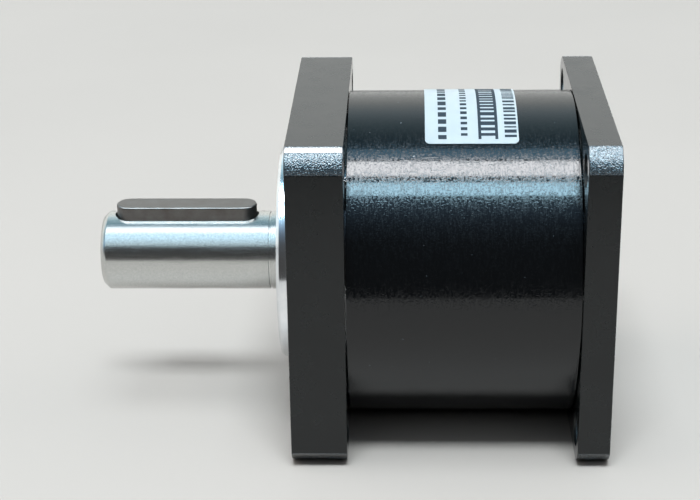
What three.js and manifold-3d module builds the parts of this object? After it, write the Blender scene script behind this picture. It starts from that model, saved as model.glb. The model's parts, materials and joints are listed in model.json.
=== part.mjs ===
// Single-stage planetary gearbox, 57 mm square frame, solid output shaft with key.
// Lengths are millimetres. Every piece is drawn in axle coordinates: local +Z is the gear axis,
// z = 0 is the front face of the front flange and +Z runs toward the motor side.
// One group turns the axis to world +X and stands the gearbox on its flange flats at world z = 0.
import * as THREE from "three";
import { mergeVertices } from "three/addons/utils/BufferGeometryUtils.js";
import Module from "manifold-3d";

const wasm = await Module();
wasm.setup();

// ---- frame and housing ----
const FRAME = 57;
const CORNER_RADIUS = 3;
const FRONT_FLANGE = 9.5;
const BODY_END = 48.5;
const LENGTH = 54;
const BODY_RADIUS = 28.45;
const BORE_RADIUS = 22.8;
const SPIGOT_RADIUS = 22.5;
const BOSS_RADIUS = 19.05;
const BOSS_HEIGHT = 2.5;
const HUB_END = 21;
const REAR_SPIGOT = 45;
const PILOT_RECESS_RADIUS = 19.2;
const PILOT_RECESS_DEPTH = 2;
const MOUNT_HOLE_RADIUS = 2.6;
const MOUNT_HOLE_OFFSET = 23.57;
const GAP = 0.3;
const SEAL_BORE = 12.8;
const CIRCLIP_GROOVE = [19.1, 20.6];
const O_RING_SECTION = 0.75;
const O_RING_GROOVE_DEPTH = 1.9;
const FRONT_O_RING_GROOVE = [12, 14.2];
const REAR_O_RING_GROOVE = [45.8, 47.8];

// ---- output shaft ----
const SHAFT_RADIUS = 7;
const SHAFT_TIP = -34.5;
const SHAFT_CHAMFER = 1;
const SEAT_RADIUS = 7.2;
const SHOULDER_RADIUS = 9;
const RELIEF_GROOVE = [-4.75, -4.35];
const CENTRE_DRILL = { radius: 1.7, depth: 3 };
const KEY_LENGTH = 25;
const KEY_WIDTH = 5;
const KEY_CENTRE = -19.5;
const KEY_FLOOR = 4;
const KEY_TOP = 9;
const KEY_BEVEL = 0.3;
const KEY_PLAY = 0.3;

// ---- gear train ----
const GEAR_MODULE = 0.9;
const PRESSURE_ANGLE = THREE.MathUtils.degToRad(20);
const RING_TEETH = 48;
const PLANET_TEETH = 18;
const SUN_TEETH = 12;
const PLANETS = 3;
const ADDENDUM = 0.8 * GEAR_MODULE;
const DEDENDUM = 1.22 * GEAR_MODULE;
const TOOTH_THINNING = 0.1;
const ORBIT_RADIUS = (GEAR_MODULE * (SUN_TEETH + PLANET_TEETH)) / 2;
const GEAR_FRONT = 27.2;
const GEAR_REAR = 39.2;
const TEETH_FRONT = 25.5;
const TEETH_REAR = 42;
const SUN_NECK_RADIUS = 6.1;
const MOTOR_BORE_RADIUS = 4;

// ---- carrier ----
const PLATE_RADIUS = 20.3;
const FRONT_PLATE = [21.6, 26];
const REAR_PLATE = [40.4, 44.4];
const PIN_RADIUS = 2;
const PIN_SPAN = [22.6, 44];
const CARRIER_SCREW_RADIUS = 16;
const CARRIER_SCREW_HOLE = { radius: 1.55, bottom: 32.5 };
const REAR_PLATE_BORE = 6.9;
const BUSH_OUTSIDE = 3.3;
const WASHER = { outside: 4.6, thickness: 0.6 };
// One side of a web outline as [distance from the axis, half width].
const WEB_SIDE = [[9.6, 2.2], [12, 3.4], [15.6, 6.6], [18.4, 7.4]];
const WEB_RIM = 19.8;

// ---- assembly screws ----
const SCREW_CIRCLE = 25.6;
const SCREW_RADIUS = 1.5;
const BODY_HOLE_DEPTH = 8;
const HEAD_RIM = 0.3;
const SOCKET_HEAD = { radius: 2.75, start: 0.4, end: 3.4, tip: 17.2, hex: 1.45, hexEnd: 2 };
const REAR_SCREW = { shank: SCREW_RADIUS, head: 2.9, tip: 40.8, top: LENGTH - 0.2 };
const CARRIER_SCREW = { shank: 1.25, head: 2.3, tip: 33, top: REAR_PLATE[1] - 0.2 };

// ---- bearings: bore, outside, width, ball pitch radius, ball radius ----
const OUTPUT_BEARING = { bore: 7.5, outside: 14, width: 7, pitch: 10.75, ball: 1.9, balls: 7 };
const INPUT_BEARING = { bore: 6, outside: 10.5, width: 5, pitch: 8.25, ball: 1.3, balls: 8 };
const BEARING_STARTS = { front: 2.2, second: 12, input: 46 };
const RACE_LAND = 0.76;
const CAGE_REACH = 0.7;
const CAGE_WALL = 0.6;
const SPACER = { inner: 12.5, span: [9.5, 11.7] };

// ---- circlip and label ----
const CIRCLIP = { inner: 13, outer: 14.8, opening: 0.18, span: [19.4, 20.3] };
const CIRCLIP_LUG = { radius: 1.2, orbit: 12.9, eye: 0.6, eyeOrbit: 12.8, angle: 0.24 };
const LABEL = { span: [22.7, 38.3], lift: 0.08, thickness: 0.1, halfAngle: THREE.MathUtils.degToRad(29.5) };

const TURN = 2 * Math.PI;
const ROUND = 32;
const SMALL_ROUND = 12;

// ---- finishes ----
const FINISHES = {
  anodised: { color: 0x202223, roughness: 0.42, metalness: 0.55 },
  oxide: { color: 0x17191a, roughness: 0.28, metalness: 0.85 },
  ground: { color: 0xb9bbb8, roughness: 0.22, metalness: 1 },
  keySteel: { color: 0x5d5b55, roughness: 0.38, metalness: 0.9 },
  bearing: { color: 0xc4c7c8, roughness: 0.16, metalness: 1 },
  gearSteel: { color: 0x8e9092, roughness: 0.33, metalness: 0.95 },
  bronze: { color: 0x9c6f35, roughness: 0.4, metalness: 0.9 },
  screw: { color: 0x2a2b2c, roughness: 0.35, metalness: 0.8 },
  spring: { color: 0x3a3c3e, roughness: 0.3, metalness: 0.85 },
  rubber: { color: 0x141414, roughness: 0.85, metalness: 0 },
  paper: { color: 0xdbe7ee, roughness: 0.5, metalness: 0 },
};

const gearbox = new THREE.Group();
gearbox.name = "planetary_gearbox";
const axle = new THREE.Group();
axle.name = "gear_axis";
axle.rotation.y = Math.PI / 2;
axle.position.set(-(LENGTH + SHAFT_TIP) / 2, 0, FRAME / 2);
gearbox.add(axle);

function solidOf(geometry) {
  const bare = geometry.clone();
  bare.deleteAttribute("normal");
  bare.deleteAttribute("uv");
  const merged = mergeVertices(bare, 1e-4);
  const corners = merged.index.array;
  const kept = [];
  for (let i = 0; i < corners.length; i += 3) {
    const [a, b, c] = corners.slice(i, i + 3);
    if (a !== b && b !== c && c !== a) kept.push(a, b, c);
  }
  const vertProperties = Float32Array.from(merged.attributes.position.array);
  const triVerts = Uint32Array.from(kept);
  return new wasm.Manifold(new wasm.Mesh({ numProp: 3, vertProperties, triVerts }));
}

function geometryOf(solid) {
  const mesh = solid.getMesh();
  const geometry = new THREE.BufferGeometry();
  geometry.setAttribute("position", new THREE.BufferAttribute(mesh.vertProperties, 3));
  geometry.setIndex(new THREE.BufferAttribute(mesh.triVerts, 1));
  const faceted = geometry.toNonIndexed();
  faceted.computeVertexNormals();
  return faceted;
}

function addPiece(name, finish, solid, parent = axle) {
  const material = new THREE.MeshStandardMaterial(FINISHES[finish]);
  const mesh = new THREE.Mesh(geometryOf(solid), material);
  mesh.name = name;
  parent.add(mesh);
  return mesh;
}

// A closed outline of [radius, z] corners revolved about the axis.
function turned(outline, segments = ROUND) {
  let area = 0;
  outline.forEach(([r0, z0], i) => {
    const [r1, z1] = outline[(i + 1) % outline.length];
    area += r0 * z1 - r1 * z0;
  });
  const ordered = area > 0 ? outline : [...outline].reverse();
  const onAxis = ordered.findIndex(([r], i) => r === 0 && ordered[(i + 1) % ordered.length][0] === 0);
  const start = onAxis < 0 ? 0 : onAxis + 1;
  const points = ordered.map((_, i) => new THREE.Vector2(...ordered[(start + i) % ordered.length]));
  if (onAxis < 0) points.push(points[0].clone());
  const geometry = new THREE.LatheGeometry(points, segments);
  geometry.rotateX(Math.PI / 2);
  return solidOf(geometry);
}

function tube(inner, outer, z0, z1, segments = ROUND) {
  return turned([[inner, z0], [outer, z0], [outer, z1], [inner, z1]], segments);
}

function rod(radius, z0, z1, segments = SMALL_ROUND) {
  return turned([[0, z0], [radius, z0], [radius, z1], [0, z1]], segments);
}

function cone(radius0, radius1, z0, z1, segments = SMALL_ROUND) {
  return turned([[0, z0], [radius0, z0], [radius1, z1], [0, z1]], segments);
}

function extruded(shape, z0, z1, curveSegments = 12) {
  const options = { depth: z1 - z0, bevelEnabled: false, curveSegments };
  const geometry = new THREE.ExtrudeGeometry(shape, options);
  geometry.translate(0, 0, z0);
  return solidOf(geometry);
}

function polar(radius, angle) {
  return [radius * Math.cos(angle), radius * Math.sin(angle)];
}

function aroundAxis(count, firstAngle = 0) {
  return Array.from({ length: count }, (_, i) => firstAngle + (i * TURN) / count);
}

function moved(solid, radius, angle) {
  const [x, y] = polar(radius, angle);
  return solid.translate([x, y, 0]);
}

// ---- gears ----

function involute(radius, baseRadius) {
  const angle = Math.acos(Math.min(1, baseRadius / radius));
  return Math.tan(angle) - angle;
}

// Outline with one tooth centred on angle `phase`; negative thinning widens the teeth, which
// turns the same outline into the tooth spaces of a ring gear.
function toothOutline(teeth, inner, outer, thinning, phase) {
  const pitch = (GEAR_MODULE * teeth) / 2;
  const base = pitch * Math.cos(PRESSURE_ANGLE);
  const pitchHalf = Math.PI / (2 * teeth) - thinning / (2 * pitch) + involute(pitch, base);
  const radii = [inner, pitch, outer];
  const halfAt = (radius) => pitchHalf - involute(Math.max(radius, base), base);
  const points = [];
  for (const centre of aroundAxis(teeth, phase)) {
    const rising = radii.map((radius) => polar(radius, centre - halfAt(radius)));
    const falling = radii.map((radius) => polar(radius, centre + halfAt(radius)));
    points.push(...rising, ...falling.reverse());
  }
  return points.map(([x, y]) => new THREE.Vector2(x, y));
}

function externalGear(teeth, phase, z0, z1) {
  const pitch = (GEAR_MODULE * teeth) / 2;
  const outline = toothOutline(teeth, pitch - DEDENDUM, pitch + ADDENDUM, TOOTH_THINNING, phase);
  return extruded(new THREE.Shape(outline), z0, z1);
}

// Turn of a planet that stands at `angle` so its teeth mesh with the sun and the ring.
function planetPhase(angle) {
  return angle + Math.PI + (angle * SUN_TEETH) / PLANET_TEETH + Math.PI / PLANET_TEETH;
}

function internalTeeth(outsideRadius, z0, z1) {
  const pitch = (GEAR_MODULE * RING_TEETH) / 2;
  const tip = pitch - ADDENDUM;
  const root = pitch + DEDENDUM;
  const shape = new THREE.Shape();
  shape.absarc(0, 0, outsideRadius, 0, TURN);
  const spaces = toothOutline(RING_TEETH, tip, root, -TOOTH_THINNING, Math.PI / RING_TEETH);
  shape.holes.push(new THREE.Path(spaces));
  return extruded(shape, z0, z1, ROUND);
}

// ---- housing ----

function squareOutline() {
  const half = FRAME / 2;
  const flat = half - CORNER_RADIUS;
  const shape = new THREE.Shape();
  shape.absarc(flat, flat, CORNER_RADIUS, 0, Math.PI / 2);
  shape.absarc(-flat, flat, CORNER_RADIUS, Math.PI / 2, Math.PI);
  shape.absarc(-flat, -flat, CORNER_RADIUS, Math.PI, 1.5 * Math.PI);
  shape.absarc(flat, -flat, CORNER_RADIUS, 1.5 * Math.PI, TURN);
  shape.closePath();
  return shape;
}

function squarePlate(z0, z1) {
  return extruded(squareOutline(), z0, z1, 4);
}

function withCornerHoles(plate, z0, z1) {
  const hole = rod(MOUNT_HOLE_RADIUS, z0 - 1, z1 + 1);
  const radius = MOUNT_HOLE_OFFSET * Math.SQRT2;
  return aroundAxis(4, Math.PI / 4).reduce((left, a) => left.subtract(moved(hole, radius, a)), plate);
}

function withScrewHoles(plate, hole) {
  return aroundAxis(4, Math.PI / 4).reduce((left, a) => left.subtract(moved(hole, SCREW_CIRCLE, a)), plate);
}

// Clearance hole with a 90 degree countersink and a short straight mouth.
function countersunkHole(screw, z0) {
  const coneEnd = screw.top - HEAD_RIM;
  const coneStart = coneEnd - (screw.head - screw.shank);
  const head = cone(screw.shank + GAP + 0.1, screw.head + GAP + 0.1, coneStart, coneEnd);
  const mouth = rod(screw.head + GAP + 0.1, coneEnd - 0.05, screw.top + 1);
  return rod(screw.shank + GAP, z0, coneStart + 0.2).add(head).add(mouth);
}

function grooveInSpigot([z0, z1]) {
  const floor = SPIGOT_RADIUS - O_RING_GROOVE_DEPTH;
  return [[SPIGOT_RADIUS, z0], [floor, z0], [floor, z1], [SPIGOT_RADIUS, z1]];
}

function frontHousing() {
  const rim = 0.45;
  const hubStart = 1;
  const bearingBore = OUTPUT_BEARING.outside + GAP;
  const circlipFloor = CIRCLIP.outer + GAP;
  const sealShoulder = BEARING_STARTS.front - GAP;
  const hub = turned([
    [SEAL_BORE, -BOSS_HEIGHT],
    [BOSS_RADIUS - rim, -BOSS_HEIGHT],
    [BOSS_RADIUS, rim - BOSS_HEIGHT],
    [BOSS_RADIUS, hubStart],
    [SPIGOT_RADIUS, hubStart],
    ...grooveInSpigot(FRONT_O_RING_GROOVE),
    [SPIGOT_RADIUS, HUB_END],
    [bearingBore, HUB_END],
    [bearingBore, CIRCLIP_GROOVE[1]],
    [circlipFloor, CIRCLIP_GROOVE[1]],
    [circlipFloor, CIRCLIP_GROOVE[0]],
    [bearingBore, CIRCLIP_GROOVE[0]],
    [bearingBore, sealShoulder],
    [SEAL_BORE, sealShoulder],
  ]);
  const centre = rod(BOSS_RADIUS - 2, -1, FRONT_FLANGE + 1, ROUND);
  const headPocket = rod(SOCKET_HEAD.radius + GAP, -1, SOCKET_HEAD.end + GAP);
  const screwHole = rod(SCREW_RADIUS + GAP, 0, FRONT_FLANGE + 1).add(headPocket);
  const plate = squarePlate(0, FRONT_FLANGE).subtract(centre);
  const drilled = withScrewHoles(withCornerHoles(plate, 0, FRONT_FLANGE), screwHole);
  return drilled.add(hub);
}

function ringGearBody() {
  const front = FRONT_FLANGE + GAP;
  const rear = BODY_END - GAP;
  const shell = tube(BORE_RADIUS, BODY_RADIUS, front, rear, 56);
  const screwHole = SCREW_RADIUS + GAP;
  const frontHole = rod(screwHole, front - 1, front + BODY_HOLE_DEPTH, 8);
  const rearHole = rod(screwHole, rear - BODY_HOLE_DEPTH, rear + 1, 8);
  const insideWall = (BORE_RADIUS + BODY_RADIUS) / 2;
  const toothed = shell.add(internalTeeth(insideWall, TEETH_FRONT, TEETH_REAR));
  return withScrewHoles(withScrewHoles(toothed, frontHole), rearHole);
}

function rearFlange() {
  const bearingBore = INPUT_BEARING.outside + GAP;
  const bearingSeat = BEARING_STARTS.input + INPUT_BEARING.width + GAP;
  const recessFloor = LENGTH - PILOT_RECESS_DEPTH;
  const inputHole = bearingBore - 2.3;
  const spigot = turned([
    [bearingBore, REAR_SPIGOT],
    [SPIGOT_RADIUS, REAR_SPIGOT],
    ...grooveInSpigot(REAR_O_RING_GROOVE),
    [SPIGOT_RADIUS, recessFloor],
    [inputHole, recessFloor],
    [inputHole, bearingSeat],
    [bearingBore, bearingSeat],
  ]);
  const pilotRecess = rod(PILOT_RECESS_RADIUS, BODY_END - 1, LENGTH + 1, ROUND);
  const screwHole = countersunkHole(REAR_SCREW, BODY_END - 1);
  const plate = squarePlate(BODY_END, LENGTH).subtract(pilotRecess);
  const drilled = withScrewHoles(withCornerHoles(plate, BODY_END, LENGTH), screwHole);
  return drilled.add(spigot);
}

// ---- output shaft and carrier ----

// Rounded-end bar outline along the shaft; x is the distance along the axis.
function keyOutline(length, width) {
  const reach = (length - width) / 2;
  const shape = new THREE.Shape();
  shape.absarc(reach, 0, width / 2, -Math.PI / 2, Math.PI / 2);
  shape.absarc(-reach, 0, width / 2, Math.PI / 2, 1.5 * Math.PI);
  shape.closePath();
  return shape;
}

// Stands an outline drawn along x up on the shaft, its height pointing to world +Z.
function onShaftTop(geometry) {
  geometry.rotateY(-Math.PI / 2);
  geometry.translate(0, 0, KEY_CENTRE);
  return solidOf(geometry);
}

function keyway() {
  const shape = keyOutline(KEY_LENGTH + 2 * KEY_PLAY, KEY_WIDTH + KEY_PLAY);
  const depth = SHAFT_RADIUS + 3 - KEY_FLOOR;
  const geometry = new THREE.ExtrudeGeometry(shape, { depth, bevelEnabled: false, curveSegments: 8 });
  geometry.translate(0, 0, KEY_FLOOR);
  return onShaftTop(geometry);
}

function shaftKey() {
  const floor = KEY_FLOOR + 0.15;
  const shape = keyOutline(KEY_LENGTH - 2 * KEY_BEVEL, KEY_WIDTH - 2 * KEY_BEVEL);
  const geometry = new THREE.ExtrudeGeometry(shape, {
    depth: KEY_TOP - floor - 2 * KEY_BEVEL,
    bevelThickness: KEY_BEVEL,
    bevelSize: KEY_BEVEL,
    bevelSegments: 1,
    curveSegments: 8,
  });
  geometry.translate(0, 0, floor + KEY_BEVEL);
  return onShaftTop(geometry);
}

// Bridge between the two carrier plates, standing between neighbouring planets.
function carrierWeb(angle) {
  const shape = new THREE.Shape(WEB_SIDE.map(([reach, half]) => new THREE.Vector2(reach, -half)));
  const [reach, half] = WEB_SIDE.at(-1);
  const rimAngle = Math.atan2(half, reach);
  shape.absarc(0, 0, WEB_RIM, -rimAngle, rimAngle);
  [...WEB_SIDE].reverse().forEach(([x, y]) => shape.lineTo(x, y));
  shape.closePath();
  const geometry = new THREE.ExtrudeGeometry(shape, {
    depth: REAR_PLATE[0] - GAP - FRONT_PLATE[0] - 1,
    bevelEnabled: false,
    curveSegments: 6,
  });
  geometry.translate(0, 0, FRONT_PLATE[0] + 1);
  geometry.rotateZ(angle);
  return solidOf(geometry);
}

const PLANET_ANGLES = aroundAxis(PLANETS, Math.PI);
const WEB_ANGLES = aroundAxis(PLANETS, Math.PI + TURN / 6);

function outputCarrier() {
  const reliefFloor = SHAFT_RADIUS - 0.3;
  const seatStart = BEARING_STARTS.front - GAP;
  const seatEnd = BEARING_STARTS.second + OUTPUT_BEARING.width + GAP;
  const shaft = turned([
    [0, SHAFT_TIP + CENTRE_DRILL.depth],
    [CENTRE_DRILL.radius, SHAFT_TIP],
    [SHAFT_RADIUS - SHAFT_CHAMFER, SHAFT_TIP],
    [SHAFT_RADIUS, SHAFT_TIP + SHAFT_CHAMFER],
    [SHAFT_RADIUS, RELIEF_GROOVE[0]],
    [reliefFloor, RELIEF_GROOVE[0]],
    [reliefFloor, RELIEF_GROOVE[1]],
    [SHAFT_RADIUS, RELIEF_GROOVE[1]],
    [SHAFT_RADIUS, seatStart],
    [SEAT_RADIUS, seatStart],
    [SEAT_RADIUS, seatEnd],
    [SHOULDER_RADIUS, seatEnd],
    [SHOULDER_RADIUS, FRONT_PLATE[0]],
    [PLATE_RADIUS, FRONT_PLATE[0]],
    [PLATE_RADIUS, FRONT_PLATE[1]],
    [0, FRONT_PLATE[1]],
  ]);
  const webbed = WEB_ANGLES.reduce((left, angle) => left.add(carrierWeb(angle)), shaft);
  const screwHole = rod(CARRIER_SCREW_HOLE.radius, CARRIER_SCREW_HOLE.bottom, REAR_PLATE[0] + 1, 10);
  const pinHole = rod(PIN_RADIUS + GAP, PIN_SPAN[0] - GAP, FRONT_PLATE[1] + 1);
  const tapped = WEB_ANGLES.reduce(
    (left, angle) => left.subtract(moved(screwHole, CARRIER_SCREW_RADIUS, angle)),
    webbed.subtract(keyway()),
  );
  return PLANET_ANGLES.reduce((left, angle) => left.subtract(moved(pinHole, ORBIT_RADIUS, angle)), tapped);
}

function carrierRearPlate() {
  const [front, rear] = REAR_PLATE;
  const plate = tube(REAR_PLATE_BORE, PLATE_RADIUS, front, rear);
  const pinHole = rod(PIN_RADIUS + GAP, front - 1, rear + 1);
  const screwHole = countersunkHole(CARRIER_SCREW, front - 1);
  const pinned = PLANET_ANGLES.reduce(
    (left, angle) => left.subtract(moved(pinHole, ORBIT_RADIUS, angle)),
    plate,
  );
  return WEB_ANGLES.reduce(
    (left, angle) => left.subtract(moved(screwHole, CARRIER_SCREW_RADIUS, angle)),
    pinned,
  );
}

// ---- input side ----

function sunInputShaft() {
  const neckStart = GEAR_REAR + GAP + 0.1;
  const journal = INPUT_BEARING.bore - GAP;
  const journalStart = BEARING_STARTS.input - 0.2;
  const end = LENGTH - PILOT_RECESS_DEPTH - 0.4;
  const boreBottom = GEAR_REAR + 1.6;
  const sleeve = turned([
    [0, neckStart],
    [SUN_NECK_RADIUS, neckStart],
    [SUN_NECK_RADIUS, journalStart],
    [journal, journalStart],
    [journal, end],
    [MOTOR_BORE_RADIUS, end],
    [MOTOR_BORE_RADIUS, boreBottom],
    [0, boreBottom],
  ], 24);
  return externalGear(SUN_TEETH, 0, GEAR_FRONT, neckStart + 0.2).add(sleeve);
}

// ---- bearings ----

function bearingInner(size, z0) {
  const land = size.pitch - size.ball * RACE_LAND;
  return turned([
    [size.bore, z0],
    [land, z0],
    [size.pitch - size.ball - GAP, z0 + size.width / 2],
    [land, z0 + size.width],
    [size.bore, z0 + size.width],
  ], 20);
}

function bearingOuter(size, z0) {
  const land = size.pitch + size.ball * RACE_LAND;
  return turned([
    [size.outside, z0],
    [size.outside, z0 + size.width],
    [land, z0 + size.width],
    [size.pitch + size.ball + GAP, z0 + size.width / 2],
    [land, z0],
  ], 24);
}

function ballsInCage(size, z0) {
  const middle = z0 + size.width / 2;
  const half = size.ball * CAGE_REACH;
  const [inner, outer] = [size.pitch - CAGE_WALL / 2, size.pitch + CAGE_WALL / 2];
  const cage = tube(inner, outer, middle - half, middle + half, 2 * size.balls);
  const ball = solidOf(new THREE.SphereGeometry(size.ball, 5, 4)).translate([0, 0, middle]);
  return aroundAxis(size.balls).reduce((left, angle) => left.add(moved(ball, size.pitch, angle)), cage);
}

function addBearing(name, size, z0) {
  addPiece(`${name}_bearing_outer_ring`, "bearing", bearingOuter(size, z0));
  addPiece(`${name}_bearing_inner_ring`, "bearing", bearingInner(size, z0));
  addPiece(`${name}_bearing_ball_cage`, "bearing", ballsInCage(size, z0));
}

// ---- small pieces ----

function oilSeal() {
  return turned([
    [12.5, -2.1],
    [12.5, 1.6],
    [11.3, 1.6],
    [11.3, -0.9],
    [8.3, -0.9],
    [7.3, 0.6],
    [7.9, -2.1],
  ], 24);
}

function oRing([z0, z1]) {
  const middle = SPIGOT_RADIUS - O_RING_GROOVE_DEPTH / 2 + 0.15;
  const profile = aroundAxis(5).map((angle) => {
    const [r, along] = polar(O_RING_SECTION, angle);
    return [middle + r, (z0 + z1) / 2 + along];
  });
  return turned(profile, 20);
}

function housingCirclip() {
  const { inner, outer, opening, span } = CIRCLIP;
  const { radius, orbit, eye, eyeOrbit, angle } = CIRCLIP_LUG;
  const shape = new THREE.Shape();
  shape.absarc(0, 0, outer, opening, TURN - opening);
  shape.absarc(0, 0, inner, TURN - opening, opening, true);
  shape.closePath();
  const lug = rod(radius, ...span, 8);
  const eyeHole = rod(eye, span[0] - GAP, span[1] + GAP, 6);
  return [angle, TURN - angle].reduce(
    (left, at) => left.add(moved(lug, orbit, at)).subtract(moved(eyeHole, eyeOrbit, at)),
    extruded(shape, ...span, 16),
  );
}

function socketScrew() {
  const { radius, start, end, tip, hex, hexEnd } = SOCKET_HEAD;
  const shank = rod(SCREW_RADIUS, end - GAP, tip, 8);
  return rod(radius, start, end).add(shank).subtract(rod(hex, start - 1, hexEnd, 6));
}

function countersunkScrew(screw) {
  const coneEnd = screw.top - HEAD_RIM;
  const coneStart = coneEnd - (screw.head - screw.shank);
  const head = cone(screw.shank, screw.head, coneStart, coneEnd);
  const rim = rod(screw.head, coneEnd, screw.top);
  const socket = rod(screw.shank * 0.75, coneStart, screw.top + 1, 6);
  return rod(screw.shank, screw.tip, coneStart).add(head).add(rim).subtract(socket);
}

function label() {
  const inner = BODY_RADIUS + LABEL.lift;
  const outer = inner + LABEL.thickness;
  const [start, end] = [Math.PI - LABEL.halfAngle, Math.PI + LABEL.halfAngle];
  const shape = new THREE.Shape();
  shape.absarc(0, 0, outer, start, end);
  shape.absarc(0, 0, inner, end, start, true);
  shape.closePath();
  return extruded(shape, ...LABEL.span, 12);
}

// ---- assembly ----

function addHousing() {
  addPiece("front_housing", "anodised", frontHousing());
  addPiece("ring_gear_body", "oxide", ringGearBody());
  addPiece("rear_flange", "anodised", rearFlange());
  addPiece("body_label", "paper", label());
  addPiece("oil_seal", "rubber", oilSeal());
  addPiece("o_ring_front", "rubber", oRing(FRONT_O_RING_GROOVE));
  addPiece("o_ring_rear", "rubber", oRing(REAR_O_RING_GROOVE));
  addPiece("bearing_spacer", "gearSteel", tube(SPACER.inner, OUTPUT_BEARING.outside, ...SPACER.span, 20));
  addPiece("housing_circlip", "spring", housingCirclip());
}

function addScrews() {
  aroundAxis(4, Math.PI / 4).forEach((angle, i) => {
    addPiece(`front_screw_${i + 1}`, "screw", moved(socketScrew(), SCREW_CIRCLE, angle));
    addPiece(`rear_screw_${i + 1}`, "screw", moved(countersunkScrew(REAR_SCREW), SCREW_CIRCLE, angle));
  });
}

function addOutput() {
  addPiece("output_carrier", "ground", outputCarrier());
  addPiece("carrier_rear_plate", "gearSteel", carrierRearPlate());
  addPiece("shaft_key", "keySteel", shaftKey());
  WEB_ANGLES.forEach((angle, i) => {
    const screw = countersunkScrew(CARRIER_SCREW);
    addPiece(`carrier_screw_${i + 1}`, "screw", moved(screw, CARRIER_SCREW_RADIUS, angle));
  });
}

function addPlanet(angle, index) {
  const stage = new THREE.Group();
  stage.name = `planet_stage_${index}`;
  stage.position.set(...polar(ORBIT_RADIUS, angle), 0);
  axle.add(stage);
  const bore = rod(BUSH_OUTSIDE + GAP, GEAR_FRONT - 1, GEAR_REAR + 1);
  const gear = externalGear(PLANET_TEETH, planetPhase(angle), GEAR_FRONT, GEAR_REAR).subtract(bore);
  const onPin = PIN_RADIUS + GAP;
  const washer = (z0) => tube(onPin, WASHER.outside, z0, z0 + WASHER.thickness, SMALL_ROUND);
  const bush = tube(onPin, BUSH_OUTSIDE, GEAR_FRONT + GAP, GEAR_REAR - GAP, SMALL_ROUND);
  addPiece(`planet_gear_${index}`, "gearSteel", gear, stage);
  addPiece(`planet_bush_${index}`, "bronze", bush, stage);
  addPiece(`planet_pin_${index}`, "bearing", rod(PIN_RADIUS, ...PIN_SPAN), stage);
  addPiece(`thrust_washer_front_${index}`, "bronze", washer(FRONT_PLATE[1] + GAP), stage);
  addPiece(`thrust_washer_rear_${index}`, "bronze", washer(GEAR_REAR + GAP), stage);
}

function addGearTrain() {
  addPiece("sun_input_shaft", "gearSteel", sunInputShaft());
  PLANET_ANGLES.forEach((angle, i) => addPlanet(angle, i + 1));
}

function addBearings() {
  addBearing("front", OUTPUT_BEARING, BEARING_STARTS.front);
  addBearing("second", OUTPUT_BEARING, BEARING_STARTS.second);
  addBearing("input", INPUT_BEARING, BEARING_STARTS.input);
}

addHousing();
addScrews();
addOutput();
addGearTrain();
addBearings();

export default gearbox;
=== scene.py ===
"""Looks of a 57 mm planetary gearbox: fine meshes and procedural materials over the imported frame.

Shapes are drawn in millimetres in axle coordinates: x runs along the gear axis from the front
flange's front face toward the motor, and (y, z) are measured from the axis. place() turns them
into metres in the row frame. Angles are counted about +X from straight down.
"""

import json
import math
import random

import bmesh
import bpy
from mathutils import Matrix, Vector

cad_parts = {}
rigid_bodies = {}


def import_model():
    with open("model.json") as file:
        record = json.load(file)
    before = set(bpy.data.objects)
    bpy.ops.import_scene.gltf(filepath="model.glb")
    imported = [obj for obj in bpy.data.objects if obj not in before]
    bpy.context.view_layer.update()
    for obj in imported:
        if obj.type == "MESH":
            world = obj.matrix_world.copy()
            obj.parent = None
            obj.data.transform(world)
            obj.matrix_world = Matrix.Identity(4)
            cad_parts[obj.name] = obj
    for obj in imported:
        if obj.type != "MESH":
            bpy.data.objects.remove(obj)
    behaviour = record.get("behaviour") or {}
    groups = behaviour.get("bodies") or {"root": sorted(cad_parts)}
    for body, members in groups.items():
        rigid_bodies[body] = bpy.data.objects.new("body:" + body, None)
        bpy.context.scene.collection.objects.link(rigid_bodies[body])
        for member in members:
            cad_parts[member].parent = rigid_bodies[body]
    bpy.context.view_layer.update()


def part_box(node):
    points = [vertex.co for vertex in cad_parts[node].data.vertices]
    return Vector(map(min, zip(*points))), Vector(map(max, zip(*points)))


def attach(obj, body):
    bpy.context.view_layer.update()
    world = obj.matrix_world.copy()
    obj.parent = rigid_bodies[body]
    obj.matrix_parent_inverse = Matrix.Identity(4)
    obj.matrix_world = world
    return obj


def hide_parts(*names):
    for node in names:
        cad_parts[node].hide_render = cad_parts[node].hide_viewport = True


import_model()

MM = 0.001
TURN = 2 * math.pi
UP = math.pi

# ---- driving sizes in millimetres, the same as the frame's ----
FRAME = 57
CORNER_FACET = 1.1
CORNER_NORMAL = math.radians(38)
CORNER_RADIUS = 4.6
FRONT_FLANGE = 9.5
BODY_START = 9.65
BODY_END = 48.35
REAR_START = 48.5
LENGTH = 54
BODY_RADIUS = 28.45
BORE_RADIUS = 22.8
SPIGOT_RADIUS = 22.5
BOSS_RADIUS = 19.05
BOSS_HEIGHT = 2.5
RECESS_RADIUS = 19.2
RECESS_FLOOR = 52
HOLE_RADIUS = 2.6
HOLE_CIRCLE = 23.57 * math.sqrt(2)
SCREW_CIRCLE = 25.6
SHAFT_RADIUS = 7
SHAFT_TIP = -34.5
KEY_START = -32
KEY_END = -7
KEY_WIDTH = 5
KEY_FLOOR = 4
KEY_TOP = 9
SEAT_RADIUS = 7.2
SHOULDER_RADIUS = 9
MODULE = 0.9
PRESSURE_ANGLE = math.radians(20)
ADDENDUM = 0.8 * MODULE
DEDENDUM = 1.22 * MODULE
TOOTH_THINNING = 0.1
RING_TEETH = 48
PLANET_TEETH = 18
SUN_TEETH = 12
ORBIT = MODULE * (SUN_TEETH + PLANET_TEETH) / 2
RING_BAND = (25.5, 42)
RING_BAND_RADIUS = 20.4
GEAR_FRONT = 27.2
GEAR_REAR = 39.2
GEAR_BORE = 3.6
BUSH_RADIUS = 3.3
PIN_RADIUS = 2
PIN_SPAN = (22.6, 44)
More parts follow.
